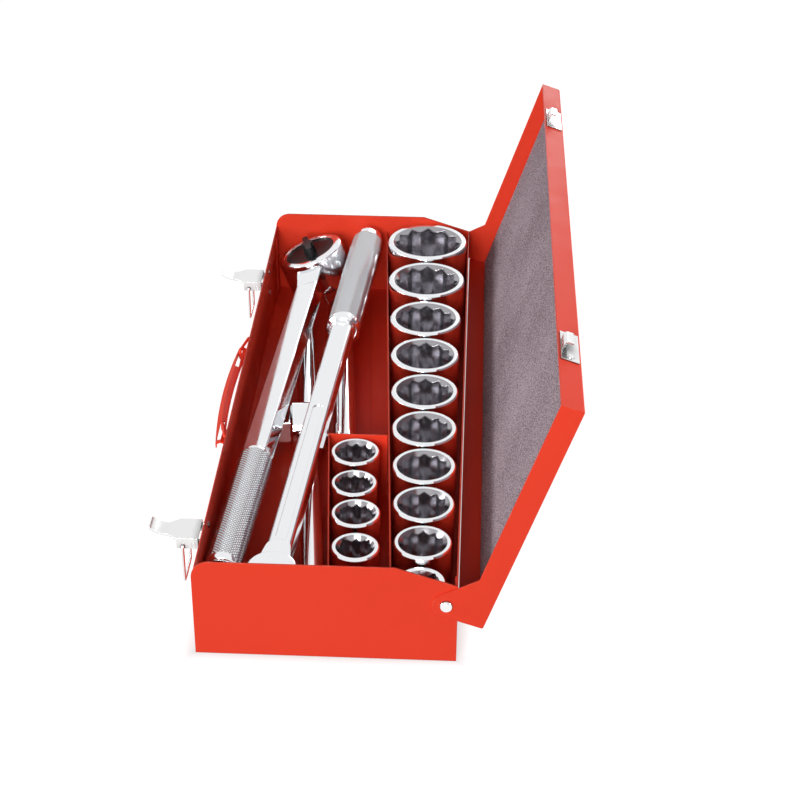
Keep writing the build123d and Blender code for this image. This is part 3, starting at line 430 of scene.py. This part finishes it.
def foam_finish():
    """Open-cell foam: speckled grey with a purple cast, cells as fine bumps."""
    material, tree, shader, place = new_material("foam_cells")
    cells = add_node(tree, "ShaderNodeTexVoronoi")
    set_inputs(tree, cells, Vector=place, Scale=950.0)
    grain = noise_value(tree, place, scale=1300.0, detail=3.0)
    speckle = math_node(tree, "MULTIPLY_ADD", cells.outputs["Distance"], FOAM_CELL_WEIGHT, grain)
    cloud = place_group(tree, SOFT_VARIATION, Vector=place, Scale=14.0, Low=-0.06, High=0.06)["Value"]
    ramp = add_node(tree, "ShaderNodeValToRGB")
    feed(tree, ramp.inputs["Fac"], math_node(tree, "ADD", speckle, cloud))
    stops = ((FOAM_PALE_AT, FOAM_PALE), (FOAM_DARK_AT, FOAM_DARK))
    for stop, (position, colour) in zip(ramp.color_ramp.elements, stops):
        stop.position = position
        stop.color = colour
    set_inputs(
        tree, shader,
        Base_Color=ramp.outputs["Color"],
        Roughness=0.95,
        Specular_IOR_Level=0.2,
        Normal=bump(tree, speckle, strength=0.7, distance=0.0008),
    )
    return material


knurled = knurl_finish()
foam = foam_finish()
FINISHES = {
    "red_paint": paint_finish("red_paint", RED, RED_WORN_AND_HIGHLIT, roughness=0.36),
    "chrome": chrome_finish(),
    "plated_steel": plated_finish(),
    "black": paint_finish("black_oxide", BLACK, BLACK_WORN_AND_HIGHLIT, roughness=0.3),
    "foam": foam,
}


def dress(node, material):
    """Give a CAD node's object its finish."""
    shown = nodes[node]
    for slot in shown.material_slots:
        slot.material = material
    if not shown.material_slots:
        shown.data.materials.append(material)


for subpart in frame["record"]["subparts"]:
    dress(subpart["node"], FINISHES[subpart["material_slot"]])
for size in SOCKETS:
    dress(f"socket_{size}mm", socket_finish(size))


# Knurled sleeves over the grips
def shape_step(tree, kind, shape, inputs=None, **settings):
    """Geometry node that takes a shape in its first socket, and gives the new shape."""
    node = add_node(tree, kind, **settings)
    feed(tree, node.inputs[0], shape)
    set_inputs(tree, node, **(inputs or {}))
    return node.outputs[0]


def make_knurl_tree():
    """Sleeve of crossed knurls along X: peaks and hollows alternate, and its two ends turn in."""
    tree = bpy.data.node_groups.new("knurl_sleeve", "GeometryNodeTree")
    sizes = {}
    for label, kind in (
        ("Radius", "NodeSocketFloat"), ("Length", "NodeSocketFloat"), ("Depth", "NodeSocketFloat"),
        ("Around", "NodeSocketInt"), ("Along", "NodeSocketInt"), ("Finish", "NodeSocketMaterial"),
    ):
        sizes[label] = tree.interface.new_socket(label, in_out="INPUT", socket_type=kind).identifier
    tree.interface.new_socket("Geometry", in_out="OUTPUT", socket_type="NodeSocketGeometry")
    given = add_node(tree, "NodeGroupInput").outputs
    result = add_node(tree, "NodeGroupOutput")

    def calc(operation, *values):
        return math_node(tree, operation, *values)

    columns = calc("ADD", given["Around"], 1.0)
    grid = add_node(tree, "GeometryNodeMeshGrid")
    set_inputs(tree, grid, Vertices_X=calc("ADD", given["Along"], 1.0), Vertices_Y=columns)

    # The quarter keeps a whole number of rows from rounding down
    index = add_node(tree, "GeometryNodeInputIndex").outputs["Index"]
    row = calc("FLOOR", calc("DIVIDE", calc("ADD", index, 0.25), columns))
    column = calc("SUBTRACT", index, calc("MULTIPLY", row, columns))
    parity = calc("MODULO", calc("ADD", row, column), 2.0)

    # Row 0 at either end turns in, row 1 is plain, and the knurls start at row 2
    from_end = calc("MINIMUM", row, calc("SUBTRACT", given["Along"], row))
    turned_in = calc("LESS_THAN", from_end, 0.5)
    inner = calc("GREATER_THAN", from_end, 1.5)
    peak = calc("MULTIPLY", calc("MULTIPLY", parity, inner), given["Depth"])
    drop = calc("MULTIPLY", turned_in, calc("MULTIPLY", given["Depth"], -KNURL_END_DEPTHS))
    radius = calc("ADD", given["Radius"], calc("ADD", peak, drop))
    angle = calc("MULTIPLY", calc("DIVIDE", column, given["Around"]), 2 * pi)
    place = add_node(tree, "ShaderNodeCombineXYZ")
    set_inputs(
        tree, place,
        X=calc("MULTIPLY", calc("DIVIDE", row, given["Along"]), given["Length"]),
        Y=calc("MULTIPLY", radius, calc("COSINE", angle)),
        Z=calc("MULTIPLY", radius, calc("SINE", angle)),
    )
    height = calc("MAXIMUM", parity, calc("SUBTRACT", 1.0, inner))

    shape = shape_step(
        tree, "GeometryNodeStoreNamedAttribute", grid.outputs["Mesh"],
        {"Name": KNURL_HEIGHT, "Value": height}, data_type="FLOAT", domain="POINT",
    )
    shape = shape_step(tree, "GeometryNodeSetPosition", shape, {"Position": place.outputs["Vector"]})
    shape = shape_step(tree, "GeometryNodeMergeByDistance", shape, {"Distance": KNURL_SEAM})
    shape = shape_step(tree, "GeometryNodeTriangulate", shape, quad_method="SHORTEST_DIAGONAL")
    shape = shape_step(tree, "GeometryNodeSetShadeSmooth", shape, {"Shade Smooth": False})
    shape = shape_step(tree, "GeometryNodeRealizeInstances", shape)
    shape = shape_step(tree, "GeometryNodeSetMaterial", shape, {"Material": given["Finish"]})
    set_inputs(tree, result, Geometry=shape)
    return tree, sizes


KNURL_TREE, KNURL_INPUTS = make_knurl_tree()


def grown_mesh(name, tree, inputs, values):
    """Plain mesh of a node tree's result."""
    holder = link(bpy.data.objects.new(name + "_maker", bpy.data.meshes.new(name + "_maker")))
    modifier = holder.modifiers.new("tree", "NODES")
    modifier.node_group = tree
    for label, value in values.items():
        modifier[inputs[label]] = value
    bpy.context.view_layer.update()
    seen = holder.evaluated_get(bpy.context.evaluated_depsgraph_get())
    mesh = bpy.data.meshes.new_from_object(seen)
    mesh.name = name
    bpy.data.objects.remove(holder)
    return mesh


def tool_frame(start, end):
    """Matrix whose X runs from start to end."""
    along = (end - start).normalized()
    side = Vector((0, 0, 1)).cross(along).normalized()
    upright = along.cross(side)
    turn = Matrix((along, side, upright)).transposed().to_4x4()
    return Matrix.Translation(start) @ turn


def add_knurl(name, body, start, end, radius, first, length):
    """Knurled sleeve on a grip; first is its distance from the tool's start."""
    around = 2 * round(pi * radius / KNURL_STEP)
    along = 2 * round(length / KNURL_STEP / 2)
    mesh = grown_mesh(name, KNURL_TREE, KNURL_INPUTS, {
        "Radius": radius + KNURL_SEAT, "Length": length, "Depth": KNURL_DEPTH,
        "Around": around, "Along": along, "Finish": knurled,
    })
    mesh.transform(tool_frame(start, end) @ Matrix.Translation((first, 0, 0)))
    piece = link(bpy.data.objects.new(name, mesh))
    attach(piece, body)


ratchet_reach = (RATCHET_END - RATCHET_HEAD).length
add_knurl(
    "ratchet_grip_knurl", "ratchet", RATCHET_HEAD, RATCHET_END, RATCHET_GRIP_RADIUS,
    first=ratchet_reach - RATCHET_GRIP_LENGTH + RATCHET_SHOULDER,
    length=RATCHET_GRIP_LENGTH - 2 * RATCHET_SHOULDER,
)
flex_reach = (FLEX_END - FLEX_FORK).length
add_knurl(
    "flex_grip_knurl", "flex_bar", FLEX_FORK, FLEX_END, FLEX_GRIP_RADIUS,
    first=flex_reach - FLEX_GRIP_LENGTH + FLEX_SHOULDER,
    length=FLEX_GRIP_LENGTH - FLEX_GRIP_RADIUS - 2 * FLEX_SHOULDER,
)


# Foam sheet in the lid
def edge_places(low, high):
    """Places along a foam side, close together at its edges, with the foam's drop at each."""
    turns = [radians(turn) for turn in FOAM_EDGE_TURNS]
    span = high - low - 2 * FOAM_EDGE
    steps = round(span / FOAM_STEP)
    rise = [(low + FOAM_EDGE * (1 - cos(a)), FOAM_EDGE * (1 - sin(a))) for a in turns]
    level = [(low + FOAM_EDGE + span * i / steps, 0.0) for i in range(steps + 1)]
    fall = [(low + high - place, drop) for place, drop in reversed(rise)]
    return rise + level + fall


def foam_mesh(low, high):
    """Closed sheet with soft edges and an uneven open face, which looks down when the lid is shut."""
    across = edge_places(low.x, high.x)
    along = edge_places(low.y, high.y)
    face = []
    back = []
    for x, drop_x in across:
        for y, drop_y in along:
            wave = FOAM_WAVE * (0.5 + 0.5 * noise.noise(Vector((x, y, 0)) * FOAM_WAVE_SCALE))
            face.append((x, y, low.z + max(drop_x, drop_y) + wave))
            back.append((x, y, high.z))
    count = len(along)
    last = len(across) - 1
    start = len(face)
    quads = []
    for i in range(last):
        for j in range(count - 1):
            a = i * count + j
            b = a + count
            quads.append((a, a + 1, b + 1, b))
            quads.append((start + a, start + b, start + b + 1, start + a + 1))
    rim = list(range(count))
    rim += [i * count + count - 1 for i in range(1, last + 1)]
    rim += [last * count + j for j in range(count - 2, -1, -1)]
    rim += [i * count for i in range(last - 1, 0, -1)]
    for a, b in zip(rim, rim[1:] + rim[:1]):
        quads.append((b, a, start + a, start + b))
    mesh = bpy.data.meshes.new("lid_foam_pad")
    mesh.from_pydata(face + back, [], quads)
    mesh.shade_smooth()
    return mesh


def add_foam():
    """Foam pad in place of its CAD node, made level and then turned up with the lid."""
    hinge = next(j for j in frame["joints"] if j["name"] == "lid_hinge")
    open_angle = radians(-hinge["range_deg"][0])
    to_world = Matrix.Translation(Vector(hinge["pos_m"])) @ Matrix.Rotation(-open_angle, 4, "X")
    to_lid = to_world.inverted()
    corners = [to_lid @ v.co for v in nodes["lid_foam"].data.vertices]
    low = Vector([min(c[i] for c in corners) for i in range(3)])
    high = Vector([max(c[i] for c in corners) for i in range(3)])
    mesh = foam_mesh(low, high)
    mesh.transform(to_world)
    mesh.materials.append(foam)
    piece = link(bpy.data.objects.new("lid_foam_pad", mesh))
    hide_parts("lid_foam")
    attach(piece, "lid")


add_foam()


# Studio
def add_lamp(name, place, aim, size, power):
    """Square white lamp that looks at a point."""
    data = bpy.data.lights.new(name, "AREA")
    data.shape = "SQUARE"
    data.size = size
    data.energy = power
    lamp = link(bpy.data.objects.new(name, data))
    toward = (Vector(aim) - Vector(place)).to_track_quat("-Z", "Y")
    lamp.matrix_world = Matrix.Translation(Vector(place)) @ toward.to_matrix().to_4x4()


def seen_white(tree):
    """1 for rays of the camera, of reflections and through glass."""
    rays = add_node(tree, "ShaderNodeLightPath").outputs
    direct = math_node(tree, "MAXIMUM", rays["Is Camera Ray"], rays["Is Glossy Ray"])
    return math_node(tree, "MAXIMUM", direct, rays["Is Transmission Ray"])


def set_world():
    """White to look at, faint as a light."""
    world = bpy.data.worlds.new("studio")
    bpy.context.scene.world = world
    world.use_nodes = True
    tree = world.node_tree
    soft = tree.nodes["Background"]
    set_inputs(tree, soft, Color=WHITE, Strength=AMBIENT)
    white = add_node(tree, "ShaderNodeBackground")
    set_inputs(tree, white, Color=WHITE, Strength=1.0)
    mix = add_node(tree, "ShaderNodeMixShader")
    for socket, source in zip(mix.inputs, (seen_white(tree), soft.outputs[0], white.outputs[0])):
        feed(tree, socket, source)
    feed(tree, tree.nodes["World Output"].inputs["Surface"], mix.outputs[0])


def glow_outside_painted_shade(tree, place):
    """0 under the case, 1 a little way out: where the floor's glow is taken away as a painted shade."""
    low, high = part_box("case_tray")
    middle = (low + high) / 2
    half = (high - low) / 2
    axes = split_axes(tree, place)
    reach = []
    for axis in range(2):
        offset = math_node(tree, "SUBTRACT", axes[axis], middle[axis])
        distance = math_node(tree, "ABSOLUTE", offset)
        reach.append(math_node(tree, "SUBTRACT", distance, half[axis] - SHADE_MARGIN))
    outside = math_node(tree, "MAXIMUM", *reach)
    return math_node(tree, "DIVIDE", outside, SHADE_FADE, clamp=True)


def add_floor():
    """Pale floor that shows white, keeps the shadow of the case, and has a painted shade under and just around the
    case.
    """
    mesh = bpy.data.meshes.new("floor")
    signs = ((-1, -1), (1, -1), (1, 1), (-1, 1))
    corners = [(x * FLOOR_HALF, y * FLOOR_HALF, -FLOOR_BELOW) for x, y in signs]
    mesh.from_pydata(corners, [], [(0, 1, 2, 3)])
    material, tree, shader, place = new_material("pale_floor")
    # The glow fades out under the case as a painted shade; the diffuse floor keeps the real shadow
    glow = math_node(tree, "MULTIPLY", seen_white(tree), glow_outside_painted_shade(tree, place))
    set_inputs(
        tree, shader,
        Base_Color=FLOOR_GREY,
        Roughness=0.9,
        Specular_IOR_Level=0.0,
        Emission_Color=WHITE,
        Emission_Strength=math_node(tree, "MULTIPLY", glow, FLOOR_GLOW),
    )
    mesh.materials.append(material)
    link(bpy.data.objects.new("floor", mesh))


set_camera()
set_world()
add_floor()
add_lamp("key", place=(2.1, -0.35, 0.95), aim=(0, 0, 0.05), size=1.0, power=43)
add_lamp("front", place=(0.3, -1.9, 0.55), aim=(0, 0, 0.1), size=1.0, power=30)
add_lamp("rim", place=(0.2, 1.6, 0.8), aim=(0, 0.1, 0.15), size=0.5, power=24)
add_lamp("back", place=(-2.0, 0.45, 0.78), aim=(0, 0.1, 0.15), size=0.7, power=5)
bpy.context.scene.view_settings.view_transform = "Standard"
